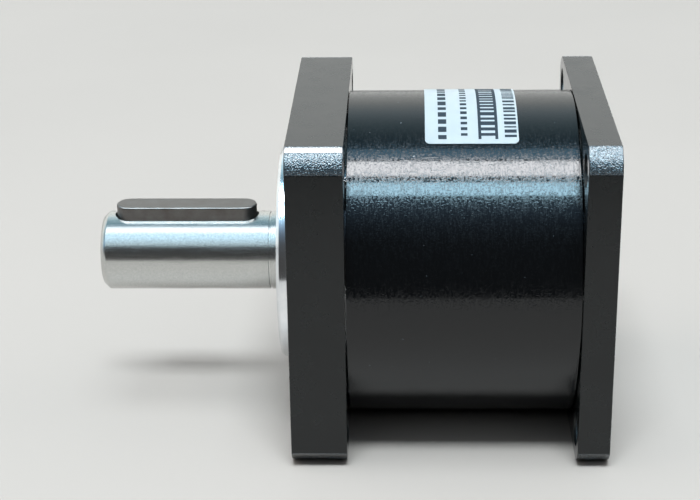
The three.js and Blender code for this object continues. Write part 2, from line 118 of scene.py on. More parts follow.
PIN_HOLE = 2.3
WASHER_RADIUS = 4.6
WASHER_THICKNESS = 0.6
WASHER_STARTS = (("front", 26.3), ("rear", 39.5))
PLATE_RADIUS = 20.3
FRONT_PLATE = (21.6, 26)
REAR_PLATE = (40.4, 44.4)
REAR_PLATE_BORE = 6.9
WEB_SIDE = ((9.6, 2.2), (12, 3.4), (15.6, 6.6), (18.4, 7.4))
WEB_RIM = 19.8
MOTOR_BORE = 4
HUB_END = 21
REAR_SPIGOT = 45
O_RING = {"section": 0.75, "circle": 21.7, "groove_floor": 20.6}
FRONT_GROOVE = (12, 14.2)
REAR_GROOVE = (45.8, 47.8)
CIRCLIP_SPAN = (19.4, 20.3)
CIRCLIP_GROOVE = (19.1, 20.6)
SEAL_SEAT = 12.8
BEARING_SEAT = 14.3
SCREW_HEAD = 2.75
SCREW_SHANK = 1.5
SCREW_HOLE = 1.8
REAR_SCREW = {"shank": SCREW_SHANK, "head": 2.9, "tip": 40.8, "top": LENGTH - 0.2}
CARRIER_SCREW = {"shank": 1.25, "head": 2.3, "tip": 33, "top": REAR_PLATE[1] - 0.2}
CARRIER_SCREW_CIRCLE = 16
LABEL_SPAN = (22.7, 38.3)
LABEL_REACH = 29.5
LABEL_FACE = BODY_RADIUS + 0.12
OUTPUT_BEARING = {"bore": 7.5, "outside": 14, "width": 7, "pitch": 10.75, "ball": 1.9, "balls": 7}
INPUT_BEARING = {"bore": 6, "outside": 10.5, "width": 5, "pitch": 8.25, "ball": 1.3, "balls": 8}
BEARINGS = {"front": (OUTPUT_BEARING, 2.2), "second": (OUTPUT_BEARING, 12), "input": (INPUT_BEARING, 46)}

DIAGONALS = [math.pi / 4 + i * math.pi / 2 for i in range(4)]
PLANET_ANGLES = [UP + i * TURN / 3 for i in range(3)]
WEB_ANGLES = [UP + TURN / 6 + i * TURN / 3 for i in range(3)]

HOUSING_LOW, HOUSING_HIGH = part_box("front_housing")
FRONT_FACE_X = HOUSING_LOW.x + BOSS_HEIGHT * MM
AXIS_Z = (HOUSING_LOW.z + HOUSING_HIGH.z) / 2
TO_ROW = Matrix.Translation((FRONT_FACE_X, 0, AXIS_Z)) @ Matrix.Scale(MM, 4)


# ---- mesh building ----


def new_object(name, bm):
    bmesh.ops.recalc_face_normals(bm, faces=bm.faces)
    mesh = bpy.data.meshes.new(name)
    bm.to_mesh(mesh)
    bm.free()
    obj = bpy.data.objects.new(name, mesh)
    bpy.context.scene.collection.objects.link(obj)
    return obj


def spoke(radius, angle):
    return (radius * math.sin(angle), -radius * math.cos(angle))


def revolved(name, profile, segments=128):
    """Turns a closed outline of (x, radius) corners about the axis. Corners on the axis are shared."""
    bm = bmesh.new()
    rings = []
    for x, radius in profile:
        if radius == 0:
            rings.append([bm.verts.new((x, 0, 0))] * segments)
        else:
            spokes = [spoke(radius, TURN * i / segments) for i in range(segments)]
            rings.append([bm.verts.new((x, y, z)) for y, z in spokes])
    for ring, after in zip(rings, rings[1:] + rings[:1]):
        for i in range(segments):
            j = (i + 1) % segments
            corners = list(dict.fromkeys((ring[i], ring[j], after[j], after[i])))
            if len(corners) > 2:
                bm.faces.new(corners)
    return new_object(name, bm)


def tube(name, inner, outer, x0, x1, edge=0.15, segments=96):
    """Ring with square section and small edge breaks."""
    profile = [
        (x0, inner + edge), (x0, outer - edge), (x0 + edge, outer), (x1 - edge, outer),
        (x1, outer - edge), (x1, inner + edge), (x1 - edge, inner), (x0 + edge, inner),
    ]
    return revolved(name, profile, segments)


def rod(name, radius, x0, x1, edge=0.0, segments=48):
    if edge:
        profile = [
            (x0, 0), (x0, radius - edge), (x0 + edge, radius),
            (x1 - edge, radius), (x1, radius - edge), (x1, 0),
        ]
    else:
        profile = [(x0, 0), (x0, radius), (x1, radius), (x1, 0)]
    return revolved(name, profile, segments)


def prism(name, outline, x0, x1):
    """Extrudes a (y, z) outline along the axis."""
    bm = bmesh.new()
    front = [bm.verts.new((x0, y, z)) for y, z in outline]
    rear = [bm.verts.new((x1, y, z)) for y, z in outline]
    bm.faces.new(front)
    bm.faces.new(list(reversed(rear)))
    count = len(outline)
    for i in range(count):
        j = (i + 1) % count
        bm.faces.new((front[i], rear[i], rear[j], front[j]))
    return new_object(name, bm)


def apply_modifiers(obj):
    graph = bpy.context.evaluated_depsgraph_get()
    mesh = bpy.data.meshes.new_from_object(obj.evaluated_get(graph))
    old = obj.data
    obj.modifiers.clear()
    obj.data = mesh
    bpy.data.meshes.remove(old)
    return obj


def combine(obj, tool, operation):
    modifier = obj.modifiers.new("combine", "BOOLEAN")
    modifier.operation = operation
    modifier.solver = "EXACT"
    modifier.object = tool
    apply_modifiers(obj)
    bpy.data.objects.remove(tool)


def cut(obj, tool):
    combine(obj, tool, "DIFFERENCE")


def join(obj, tool):
    combine(obj, tool, "UNION")


def shifted(obj, radius, angle):
    y, z = spoke(radius, angle)
    obj.data.transform(Matrix.Translation((0, y, z)))
    return obj


def broken_edges(obj, width, segments=2, angle=35, material=-1):
    """Breaks every edge sharper than the angle, in degrees."""
    modifier = obj.modifiers.new("edges", "BEVEL")
    modifier.width = width
    modifier.segments = segments
    modifier.limit_method = "ANGLE"
    modifier.angle_limit = math.radians(angle)
    modifier.material = material
    return apply_modifiers(obj)


def flat_sides_first(obj):
    """Shades large faces by their own direction, so only the small edge faces blend."""
    modifier = obj.modifiers.new("shading", "WEIGHTED_NORMAL")
    modifier.mode = "FACE_AREA"
    modifier.weight = 50
    modifier.keep_sharp = True
    apply_modifiers(obj)


def place(obj, body, slot, looks, *nodes):
    """Moves a finished shape from axle millimetres to the row frame and ties it to the frame.

    looks is its material, or a tuple of them when paint_faces has chosen between several.
    """
    obj.data.transform(TO_ROW)
    for polygon in obj.data.polygons:
        polygon.use_smooth = True
    obj.data.set_sharp_from_angle(angle=math.radians(32))
    flat_sides_first(obj)
    for index, material in enumerate(looks if isinstance(looks, tuple) else (looks,)):
        if index < len(obj.data.materials):
            obj.data.materials[index] = material
        else:
            obj.data.materials.append(material)
    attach(obj, body)
    if nodes:
        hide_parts(*nodes)


def paint_faces(obj, index, chosen):
    """Gives material index to the faces whose centre and normal satisfy chosen(centre, normal)."""
    for polygon in obj.data.polygons:
        if chosen(polygon.center, polygon.normal):
            polygon.material_index = index


def arc(centre, radius, start, end, steps):
    cy, cz = centre
    angles = [start + (end - start) * i / steps for i in range(steps + 1)]
    return [(cy + radius * math.cos(a), cz + radius * math.sin(a)) for a in angles]


def square_outline():
    """Square whose corners start with a flat milled facet and run on round into the next side."""
    half = FRAME / 2
    steps = 14
    centre_y = half - CORNER_RADIUS
    centre_z = half - CORNER_RADIUS * math.cos(CORNER_NORMAL) - CORNER_FACET * math.sin(CORNER_NORMAL)
    corner = [(
        centre_y + CORNER_RADIUS * math.sin(CORNER_NORMAL) - CORNER_FACET * math.cos(CORNER_NORMAL),
        half,
    )]
    for i in range(steps + 1):
        a = CORNER_NORMAL + (math.pi / 2 - CORNER_NORMAL) * i / steps
        corner.append((centre_y + CORNER_RADIUS * math.sin(a), centre_z + CORNER_RADIUS * math.cos(a)))
    outline = []
    for y, z in ((-1, 1), (-1, -1), (1, -1), (1, 1)):
        swap = y * z > 0
        for across, up in corner:
            outline.append((y * up, z * across) if swap else (y * across, z * up))
    return outline


# ---- gear teeth ----


def involute(radius, base):
    angle = math.acos(min(1, base / radius))
    return math.tan(angle) - angle


def tooth_outline(teeth, inner, outer, thinning, phase, steps=6):
    """Outline with a tooth centred on phase; negative thinning gives a ring gear's spaces."""
    pitch = MODULE * teeth / 2
    base = pitch * math.cos(PRESSURE_ANGLE)
    half_pitch = math.pi / (2 * teeth) - thinning / (2 * pitch) + involute(pitch, base)
    start = max(inner, base)
    radii = [start + (outer - start) * i / steps for i in range(steps + 1)]
    if inner < base:
        radii.insert(0, inner)
    halves = [half_pitch - involute(max(radius, base), base) for radius in radii]
    outline = []
    for tooth in range(teeth):
        centre = phase + tooth * TURN / teeth
        outline += [spoke(r, centre - h) for r, h in zip(radii, halves)]
        outline += [spoke(r, centre + h) for r, h in reversed(list(zip(radii, halves)))]
    return outline


def external_gear(name, teeth, phase, x0, x1):
    pitch = MODULE * teeth / 2
    outline = tooth_outline(teeth, pitch - DEDENDUM, pitch + ADDENDUM, TOOTH_THINNING, phase)
    return prism(name, outline, x0, x1)


def planet_phase(angle):
    """Turn that meshes a planet standing at the angle with the sun gear."""
    return angle + math.pi + angle * SUN_TEETH / PLANET_TEETH + math.pi / PLANET_TEETH


# ---- material nodes ----


class Graph:
    """Short calls for building a node tree."""

    def __init__(self, tree):
        self.tree = tree

    def link(self, output, target):
        self.tree.links.new(output, target)

    def add(self, kind):
        return self.tree.nodes.new("ShaderNode" + kind)

    def math(self, operation, a, b=None):
        node = self.add("Math")
        node.operation = operation
        for socket, value in zip(node.inputs, (a, b)):
            if value is None:
                continue
            if isinstance(value, (int, float)):
                socket.default_value = value
            else:
                self.link(value, socket)
        return node.outputs["Value"]

    def split(self, vector):
        node = self.add("SeparateXYZ")
        self.link(vector, node.inputs["Vector"])
        return node.outputs["X"], node.outputs["Y"], node.outputs["Z"]

    def radius(self, vector):
        _, y, z = self.split(vector)
        squares = self.math("ADD", self.math("MULTIPLY", y, y), self.math("MULTIPLY", z, z))
        return self.math("SQRT", squares)

    def stretched(self, vector, *scale):
        mapping = self.add("Mapping")
        mapping.inputs["Scale"].default_value = scale
        self.link(vector, mapping.inputs["Vector"])
        return mapping.outputs["Vector"]

    def noise(self, vector, scale, detail=2.0, roughness=0.5):
        node = self.add("TexNoise")
        node.inputs["Scale"].default_value = scale
        node.inputs["Detail"].default_value = detail
        node.inputs["Roughness"].default_value = roughness
        self.link(vector, node.inputs["Vector"])
        return node.outputs["Fac"]

    def lines(self, value, scale, detail=2.0):
        """Noise along one number only, which gives parallel tool marks."""
        node = self.add("TexNoise")
        node.noise_dimensions = "1D"
        node.inputs["Scale"].default_value = scale
        node.inputs["Detail"].default_value = detail
        self.link(value, node.inputs["W"])
        return node.outputs["Fac"]

    def ramp(self, value, *stops):
        node = self.add("ValToRGB")
        elements = node.color_ramp.elements
        while len(elements) < len(stops):
            elements.new(0.5)
        for element, (position, color) in zip(elements, stops):
            element.position = position
            element.color = (*color, 1)
        self.link(value, node.inputs["Fac"])
        return node.outputs["Color"]

    def scaled(self, value, low, high, start=0.0, end=1.0):
        node = self.add("MapRange")
        node.inputs["From Min"].default_value = start
        node.inputs["From Max"].default_value = end
        node.inputs["To Min"].default_value = low
        node.inputs["To Max"].default_value = high
        self.link(value, node.inputs["Value"])
        return node.outputs["Result"]

    def bump(self, height, distance, strength=1.0, under=None):
        node = self.add("Bump")
        node.inputs["Distance"].default_value = distance
        node.inputs["Strength"].default_value = strength
        self.link(height, node.inputs["Height"])
        if under is not None:
            self.link(under, node.inputs["Normal"])
        return node.outputs["Normal"]


class Nodes(Graph):
    """One material's node tree around its Principled shader."""

    def __init__(self, name, color, metallic, roughness, **sockets):
        self.material = bpy.data.materials.new(name)
        self.material.use_nodes = True
        super().__init__(self.material.node_tree)
        self.shader = self.tree.nodes["Principled BSDF"]
        self.shader.inputs["Base Color"].default_value = (*color, 1)
        self.shader.inputs["Metallic"].default_value = metallic
        self.shader.inputs["Roughness"].default_value = roughness
        for socket, value in sockets.items():
            self.shader.inputs[socket].default_value = value

    def feed(self, socket, output):
        self.link(output, self.shader.inputs[socket])

    def point(self):
        """Object coordinates moved so that the gear axis passes through the origin."""
        coordinates = self.add("TexCoord")
        mapping = self.add("Mapping")
        mapping.inputs["Location"].default_value = (-FRONT_FACE_X, 0, -AXIS_Z)
        self.link(coordinates.outputs["Object"], mapping.inputs["Vector"])
        return mapping.outputs["Vector"]


def speckled(nodes, point, low, high, scale, color_a, color_b):
    """Slow colour drift between two near tones with a matching roughness drift."""
    drift = nodes.noise(point, scale, 4.0, 0.6)
    nodes.feed("Base Color", nodes.ramp(drift, (0.3, color_a), (0.7, color_b)))
    nodes.feed("Roughness", nodes.scaled(drift, low, high, 0.3, 0.7))
    return drift


def anodised_aluminium():
    """Bead-blasted black anodised skin of the two flanges."""
    nodes = Nodes("black_anodised_skin", (0.006, 0.006, 0.006), 0.0, 0.26, IOR=1.46)
    point = nodes.point()
    speckled(nodes, point, 0.22, 0.3, 260, (0.003, 0.0032, 0.0031), (0.0045, 0.0048, 0.0046))
    grain = nodes.noise(point, 9000, 2.0, 0.6)
    nodes.feed("Normal", nodes.bump(grain, 0.000004, 0.4))
    return nodes.material


def turned_face():
    """Flange faces across the axis, turned smoother than the sides before anodising."""
    nodes = Nodes("black_anodised_face", (0.004, 0.0042, 0.004), 0.0, 0.12, IOR=1.46)
    point = nodes.point()
    rings = nodes.lines(nodes.radius(point), 5000, 2.0)
    speckled(nodes, point, 0.08, 0.15, 300, (0.003, 0.0032, 0.0031), (0.0045, 0.0048, 0.0046))
    nodes.feed("Normal", nodes.bump(rings, 0.000003, 0.4))
    return nodes.material


def worn_edge():
    """Edge breaks of the flanges: the same skin rubbed through to metal in small nicks."""
    nodes = Nodes("black_anodised_edge", (0.02, 0.021, 0.021), 0.0, 0.35, IOR=1.5)
    point = nodes.point()
    nicks = nodes.noise(point, 1300, 5.0, 0.75)
    mask = nodes.scaled(nicks, 0, 1, 0.56, 0.62)
    nodes.feed("Base Color", nodes.ramp(mask, (0, (0.03, 0.031, 0.032)), (1, (0.55, 0.57, 0.6))))
    nodes.feed("Metallic", mask)
    nodes.feed("Normal", nodes.bump(nicks, 0.00003, 0.5))
    return nodes.material


def milled_facet():
    """Narrow flat cut at the start of a corner round, polished by the cutter."""
    nodes = Nodes("black_anodised_facet", (0.02, 0.021, 0.022), 0.0, 0.12, IOR=2.0)
    point = nodes.point()
    marks = nodes.noise(nodes.stretched(point, 1, 0.2, 0.2), 3000, 3.0, 0.6)
    nodes.feed("Roughness", nodes.scaled(marks, 0.08, 0.18, 0.3, 0.7))
    nodes.feed("Normal", nodes.bump(marks, 0.00001, 0.5))
    return nodes.material


def corner_with_painted_sheen():
    """Corner rounds of the flanges, milled and left a little shinier and coarser; their bluish base
    colour, lighter than the flat skin, is a painted blue sheen.
    """
    # Painted sheen: this bluish, lighter base colour stands in for the blue glint on the corner rounds;
    # the anodising itself is the same neutral black as the skin.
    nodes = Nodes("black_anodised_corner_painted_sheen", (0.012, 0.019, 0.024), 0.0, 0.2, IOR=2.0)
    point = nodes.point()
    grain = nodes.noise(point, 4400, 1.0, 0.5)
    nodes.feed("Roughness", nodes.scaled(grain, 0.14, 0.28, 0.35, 0.65))
    nodes.feed("Normal", nodes.bump(grain, 0.00017, 1.0))
    return nodes.material


def machined_aluminium():
    """Bright turned pilot boss and recess, with tool marks round the axis."""
    nodes = Nodes("turned_aluminium", (0.82, 0.83, 0.84), 1.0, 0.2)
    point = nodes.point()
    x, _, _ = nodes.split(point)
    along = nodes.math("ADD", nodes.radius(point), x)
    marks = nodes.lines(along, 7000, 2.0)
    drift = nodes.noise(point, 420, 3.0, 0.6)
    nodes.feed("Base Color", nodes.ramp(drift, (0.3, (0.74, 0.76, 0.78)), (0.7, (0.86, 0.87, 0.88))))
    nodes.feed("Roughness", nodes.scaled(marks, 0.08, 0.2, 0.3, 0.7))
    nodes.feed("Normal", nodes.bump(marks, 0.000004, 0.4))
    return nodes.material


def oxide_steel():
    """Glossy black oxide over the fine turning marks of the round body."""
    nodes = Nodes("black_oxide_turned", (0.004, 0.0045, 0.005), 0.0, 0.16, IOR=1.48)
    point = nodes.point()
    x, _, _ = nodes.split(point)
    marks = nodes.lines(x, 4500, 3.0)
    streaks = nodes.noise(nodes.stretched(point, 1, 0.15, 0.15), 4600, 1.0, 0.5)
    spots = nodes.noise(point, 3000, 1.0, 0.5)
    pits = nodes.scaled(nodes.noise(point, 3200, 1.0, 0.5), 0, 1, 0.55, 0.68)
    dust = nodes.scaled(nodes.noise(point, 1900, 0.0, 0.4), 0, 1, 0.865, 0.9)
    nodes.feed("Base Color", nodes.ramp(dust, (0, (0.0012, 0.0014, 0.0017)), (1, (0.08, 0.085, 0.09))))
    nodes.feed("Roughness", nodes.scaled(nodes.math("ADD", streaks, spots), 0.04, 0.22, 0.86, 1.14))
    turned_normal = nodes.bump(marks, 0.00001, 0.5)
    nodes.feed("Normal", nodes.bump(pits, 0.000007, 0.9, turned_normal))
    return nodes.material


def ground_steel():
    """Ground output shaft: very fine marks round the axis and faint scuffs along it."""
    nodes = Nodes("ground_steel", (0.55, 0.55, 0.54), 1.0, 0.26)
    point = nodes.point()
    x, _, _ = nodes.split(point)
    marks = nodes.lines(x, 9000, 3.0)
    scuffs = nodes.noise(nodes.stretched(point, 0.05, 1, 1), 5200, 1.0, 0.5)
    mottle = nodes.noise(point, 3000, 2.0, 0.6)
    nodes.feed("Base Color", nodes.ramp(mottle, (0.3, (0.5, 0.5, 0.48)), (0.7, (0.6, 0.6, 0.58))))
    nodes.feed("Roughness", nodes.scaled(scuffs, 0.18, 0.26, 0.35, 0.65))
    ground_normal = nodes.bump(marks, 0.00002, 0.6)
    nodes.feed("Normal", nodes.bump(mottle, 0.00001, 0.8, ground_normal))
    return nodes.material


def key_steel():
    """Drawn key steel, duller than the shaft, with marks along its length."""
    nodes = Nodes("key_steel", (0.3, 0.3, 0.285), 1.0, 0.36)
    point = nodes.point()
    _, y, z = nodes.split(point)
    marks = nodes.lines(nodes.math("ADD", y, z), 6000, 3.0)
    drift = speckled(nodes, point, 0.3, 0.44, 500, (0.12, 0.108, 0.1), (0.19, 0.178, 0.168))
    fine = nodes.bump(marks, 0.000006, 0.4)
    nodes.feed("Normal", nodes.bump(drift, 0.00001, 0.3, fine))
    return nodes.material


def plain_steel(name, color_a, color_b, low, high, scale, depth):
    """Machined or hardened metal of the inner pieces; scale is the grain of its tool marks."""
    nodes = Nodes(name, color_a, 1.0, low)
    point = nodes.point()
    x, _, _ = nodes.split(point)
    speckled(nodes, point, low, high, 600, color_a, color_b)
    marks = nodes.lines(nodes.math("ADD", nodes.radius(point), x), scale, 2.0)
    nodes.feed("Normal", nodes.bump(marks, depth, 0.4))
    return nodes.material


def rubber():
    """Matt black nitrile rubber."""
    nodes = Nodes("nitrile_rubber", (0.012, 0.012, 0.012), 0.0, 0.6)
    point = nodes.point()
    speckled(nodes, point, 0.5, 0.72, 900, (0.01, 0.01, 0.01), (0.02, 0.02, 0.02))
    nodes.feed("Normal", nodes.bump(nodes.noise(point, 7000, 2.0), 0.000006, 0.5))
    return nodes.material


def label_film():
    """Pale blue-white film of the label."""
    nodes = Nodes("label_film", (0.25, 0.268, 0.275), 0.0, 0.4, IOR=1.35)
    point = nodes.point()
    speckled(nodes, point, 0.34, 0.46, 220, (0.24, 0.258, 0.265), (0.26, 0.278, 0.285))
    nodes.feed("Normal", nodes.bump(nodes.noise(point, 2500, 2.0), 0.000003, 0.4))
    return nodes.material


def label_ink():
    """Dark blue-grey print."""
    nodes = Nodes("label_ink", (0.015, 0.02, 0.027), 0.0, 0.5, IOR=1.2)
    point = nodes.point()
    speckled(nodes, point, 0.5, 0.65, 3000, (0.01, 0.015, 0.02), (0.02, 0.028, 0.036))
    return nodes.material


def floor_surface():
    """Plain pale table."""
    nodes = Nodes("pale_floor", (0.25, 0.216, 0.192), 0.0, 0.6)
    coordinates = nodes.add("TexCoord").outputs["Object"]
    drift = nodes.noise(coordinates, 9, 3.0, 0.5)
    nodes.feed("Base Color", nodes.ramp(drift, (0.3, (0.243, 0.21, 0.187)), (0.7, (0.255, 0.22, 0.196))))
    return nodes.material


FLANGE_LOOK = (
    anodised_aluminium(), worn_edge(), corner_with_painted_sheen(), machined_aluminium(),
    milled_facet(), turned_face(),
)
EDGE_LOOK, CORNER_LOOK, BRIGHT_LOOK, FACET_LOOK, FACE_LOOK = range(1, len(FLANGE_LOOK))
OXIDE = oxide_steel()
GROUND = ground_steel()
KEY = key_steel()
GEAR = plain_steel("gear_steel", (0.33, 0.34, 0.35), (0.43, 0.44, 0.45), 0.26, 0.4, 5000, 0.000008)
BEARING = plain_steel("bearing_steel", (0.6, 0.61, 0.62), (0.7, 0.7, 0.71), 0.1, 0.2, 9000, 0.000003)
BRONZE = plain_steel("bearing_bronze", (0.46, 0.27, 0.1), (0.56, 0.35, 0.14), 0.28, 0.42, 5000, 0.000008)
SCREW = plain_steel("black_screw", (0.05, 0.05, 0.052), (0.085, 0.085, 0.09), 0.3, 0.42, 6000, 0.000006)
SPRING = plain_steel("spring_steel", (0.07, 0.072, 0.078), (0.12, 0.12, 0.125), 0.28, 0.4, 6000, 0.000006)
RUBBER = rubber()
FILM = label_film()
INK = label_ink()


# ---- housing pieces ----


def corner_holes(plate, x0, x1):
    """Four mounting holes with a light countersink on both faces."""
    lip = 0.35
    for angle in DIAGONALS:
        profile = [
            (x0 - 1, 0), (x0 - 1, HOLE_RADIUS + lip + 1), (x0 + lip, HOLE_RADIUS),
            (x1 - lip, HOLE_RADIUS), (x1 + 1, HOLE_RADIUS + lip + 1), (x1 + 1, 0),
        ]
        cut(plate, shifted(revolved("tool", profile, 48), HOLE_CIRCLE, angle))


def rough_flange(name, x0, x1):
    """Square plate with milled round corners and fine edge breaks."""
    plate = prism(name, square_outline(), x0, x1)
    return broken_edges(plate, 0.15, 2, 30, material=EDGE_LOOK)


def corner_turn(normal):
    """How far round its corner a face has turned, from 0 on one side to a quarter turn on the next."""
    along, across = abs(normal.z), abs(normal.y)
    if normal.y * normal.z > 0:
        along, across = across, along
    return math.atan2(across, along)


def paint_flange(obj, facet_look):
    """Gives end faces and corner rounds their looks, and the corners' flat facets facet_look."""

    def on_corner(centre, normal):
        outside = math.hypot(centre.y, centre.z) > 0.55 * FRAME and abs(normal.x) < 0.2
        return outside and max(abs(normal.y), abs(normal.z)) < 0.999

    def on_facet(centre, normal):
        return on_corner(centre, normal) and abs(corner_turn(normal) - CORNER_NORMAL) < 0.02

    paint_faces(obj, FACE_LOOK, lambda centre, normal: abs(normal.x) > 0.99)
    paint_faces(obj, CORNER_LOOK, on_corner)
    paint_faces(obj, facet_look, on_facet)


def front_housing():
    plate = rough_flange("front_flange_and_hub", 0, FRONT_FLANGE)
    head_seat = 3.7
    for angle in DIAGONALS:
        pocket = [
            (-1, 0), (-1, SCREW_HEAD + 0.35), (head_seat, SCREW_HEAD + 0.35),
            (head_seat, SCREW_HOLE), (FRONT_FLANGE + 1.5, SCREW_HOLE), (FRONT_FLANGE + 1.5, 0),
        ]
        cut(plate, shifted(revolved("tool", pocket, 40), SCREW_CIRCLE, angle))
    corner_holes(plate, 0, FRONT_FLANGE)
    cut(plate, rod("tool", 17, -1, FRONT_FLANGE + 1, segments=160))
    groove_start, groove_end = FRONT_GROOVE
    groove_floor = O_RING["groove_floor"]
    clip_start, clip_end = CIRCLIP_GROOVE
    clip_floor = BEARING_SEAT + 0.8
    seal_stop = 1.9
    hub = revolved("hub", [
        (-BOSS_HEIGHT, SEAL_SEAT + 0.15), (-BOSS_HEIGHT, SEAL_SEAT + 0.3),
        (-BOSS_HEIGHT, BOSS_RADIUS - 0.5), (-BOSS_HEIGHT + 0.5, BOSS_RADIUS),
        (1, BOSS_RADIUS), (1, SPIGOT_RADIUS),
        (groove_start, SPIGOT_RADIUS), (groove_start, groove_floor),
        (groove_end, groove_floor), (groove_end, SPIGOT_RADIUS),
        (HUB_END - 0.4, SPIGOT_RADIUS), (HUB_END, SPIGOT_RADIUS - 0.4),
        (HUB_END, BEARING_SEAT + 0.3), (HUB_END - 0.3, BEARING_SEAT),
        (clip_end, BEARING_SEAT), (clip_end, clip_floor),
        (clip_start, clip_floor), (clip_start, BEARING_SEAT),
        (seal_stop, BEARING_SEAT), (seal_stop, SEAL_SEAT), (-BOSS_HEIGHT + 0.15, SEAL_SEAT),
    ], 160)
    join(plate, hub)
    paint_flange(plate, FACET_LOOK)

    def bright(centre, normal):
        radius = math.hypot(centre.y, centre.z)
        boss = centre.x < 0.3 and radius < BOSS_RADIUS + 0.1
        return boss or radius < BEARING_SEAT + 0.1 or centre.x > FRONT_FLANGE + 0.3

    paint_faces(plate, BRIGHT_LOOK, bright)
    place(plate, "housing", "black_anodised", FLANGE_LOOK, "front_housing")


def rear_flange():
    plate = rough_flange("rear_flange_and_spigot", REAR_START, LENGTH)
    before, past = REAR_START - 1.5, LENGTH + 1
    for angle in DIAGONALS:
        sink = [
            (before, 0), (before, SCREW_HOLE), (RECESS_FLOOR, SCREW_HOLE),
            (RECESS_FLOOR + 1.5, SCREW_HOLE + 1.5), (past, SCREW_HOLE + 1.5), (past, 0),
        ]
        cut(plate, shifted(revolved("tool", sink, 40), SCREW_CIRCLE, angle))
    corner_holes(plate, REAR_START, LENGTH)
    rim = LENGTH - 0.4
    recess = [
        (before, 0), (before, RECESS_RADIUS), (rim, RECESS_RADIUS),
        (past, RECESS_RADIUS + past - rim), (past, 0),
    ]
    cut(plate, revolved("tool", recess, 160))
    groove_start, groove_end = REAR_GROOVE
    groove_floor = O_RING["groove_floor"]
    seat, lip, seat_end = 10.8, 8.5, RECESS_FLOOR - 0.7
    spigot = revolved("spigot", [
        (REAR_SPIGOT, seat + 0.3), (REAR_SPIGOT, SPIGOT_RADIUS - 0.4),
        (REAR_SPIGOT + 0.4, SPIGOT_RADIUS),
        (groove_start, SPIGOT_RADIUS), (groove_start, groove_floor),
        (groove_end, groove_floor), (groove_end, SPIGOT_RADIUS),
        (RECESS_FLOOR, SPIGOT_RADIUS), (RECESS_FLOOR, lip + 0.3), (RECESS_FLOOR - 0.3, lip),
        (seat_end, lip), (seat_end, seat), (REAR_SPIGOT + 0.3, seat),
    ], 160)
    join(plate, spigot)
    paint_flange(plate, CORNER_LOOK)

    def bright(centre, normal):
        radius = math.hypot(centre.y, centre.z)
        return radius < RECESS_RADIUS + 0.42 or centre.x < REAR_START - 0.3

    paint_faces(plate, BRIGHT_LOOK, bright)
    place(plate, "housing", "black_anodised", FLANGE_LOOK, "rear_flange")


def ring_gear_body():
    """Round body: turned outside with broken ends, internal teeth in the middle of its bore."""
    edge = 0.12
    shell = revolved("round_body_with_ring_gear", [
        (BODY_START, BORE_RADIUS + 0.3), (BODY_START, BODY_RADIUS - edge),
        (BODY_START + edge * 0.3, BODY_RADIUS - edge * 0.3), (BODY_START + edge, BODY_RADIUS),
        (BODY_END - edge, BODY_RADIUS), (BODY_END - edge * 0.3, BODY_RADIUS - edge * 0.3),
        (BODY_END, BODY_RADIUS - edge), (BODY_END, BORE_RADIUS + 0.3),
        (BODY_END - 0.3, BORE_RADIUS), (RING_BAND[1], BORE_RADIUS), (RING_BAND[1], RING_BAND_RADIUS),
        (RING_BAND[0], RING_BAND_RADIUS), (RING_BAND[0], BORE_RADIUS), (BODY_START + 0.3, BORE_RADIUS),
    ], 256)
    pitch = MODULE * RING_TEETH / 2
    phase = math.pi / RING_TEETH
    spaces = tooth_outline(RING_TEETH, pitch - ADDENDUM, pitch + DEDENDUM, -TOOTH_THINNING, phase)
    cut(shell, prism("tool", spaces, RING_BAND[0] - 1.5, RING_BAND[1] + 1))
    hole_depth = 8
    for angle in DIAGONALS:
        for x0, x1 in ((BODY_START - 1, BODY_START + hole_depth), (BODY_END - hole_depth, BODY_END + 1)):
            cut(shell, shifted(rod("tool", SCREW_HOLE, x0, x1, segments=24), SCREW_CIRCLE, angle))

    gear_look = 1
    inside = BORE_RADIUS + 0.2
    paint_faces(shell, gear_look, lambda centre, normal: math.hypot(centre.y, centre.z) < inside)
    place(shell, "housing", "black_oxide_steel", (OXIDE, GEAR), "ring_gear_body")


def socket_screw(name, angle):
    """Socket head cap screw with broken rims and a hex socket."""
    top, seat, tip = 0.4, 3.4, 17.2
    screw = revolved(name, [
        (top, 0), (top, SCREW_HEAD - 0.3), (top + 0.3, SCREW_HEAD), (seat - 0.15, SCREW_HEAD),
        (seat, SCREW_HEAD - 0.15), (seat, SCREW_SHANK), (tip - 0.3, SCREW_SHANK),
        (tip, SCREW_SHANK - 0.3), (tip, 0),
    ], 48)
    socket = prism("tool", [spoke(1.45, i * TURN / 6) for i in range(6)], -1, 2)
    cut(screw, socket)
    return shifted(screw, SCREW_CIRCLE, angle)


def countersunk_screw(name, size, circle, angle):
    """Countersunk screw with a hex socket, its head toward the motor."""
    shank, head, tip, top = (size[part] for part in ("shank", "head", "tip", "top"))
    cone_end = top - 0.3
    cone_start = cone_end - (head - shank)
    screw = revolved(name, [
        (tip, 0), (tip, shank - 0.25), (tip + 0.25, shank), (cone_start, shank), (cone_end, head),
        (top - 0.1, head), (top, head - 0.1), (top, 0),
    ], 48)
    socket = prism("tool", [spoke(shank * 0.75, i * TURN / 6) for i in range(6)], cone_start, top + 1)
    cut(screw, socket)
    return shifted(screw, circle, angle)


def assembly_screws():
    for i, angle in enumerate(DIAGONALS, 1):
        front = socket_screw(f"front_socket_screw_{i}", angle)
        place(front, "housing", "black_screw", SCREW, f"front_screw_{i}")
        rear = countersunk_screw(f"rear_countersunk_screw_{i}", REAR_SCREW, SCREW_CIRCLE, angle)
        place(rear, "housing", "black_screw", SCREW, f"rear_screw_{i}")


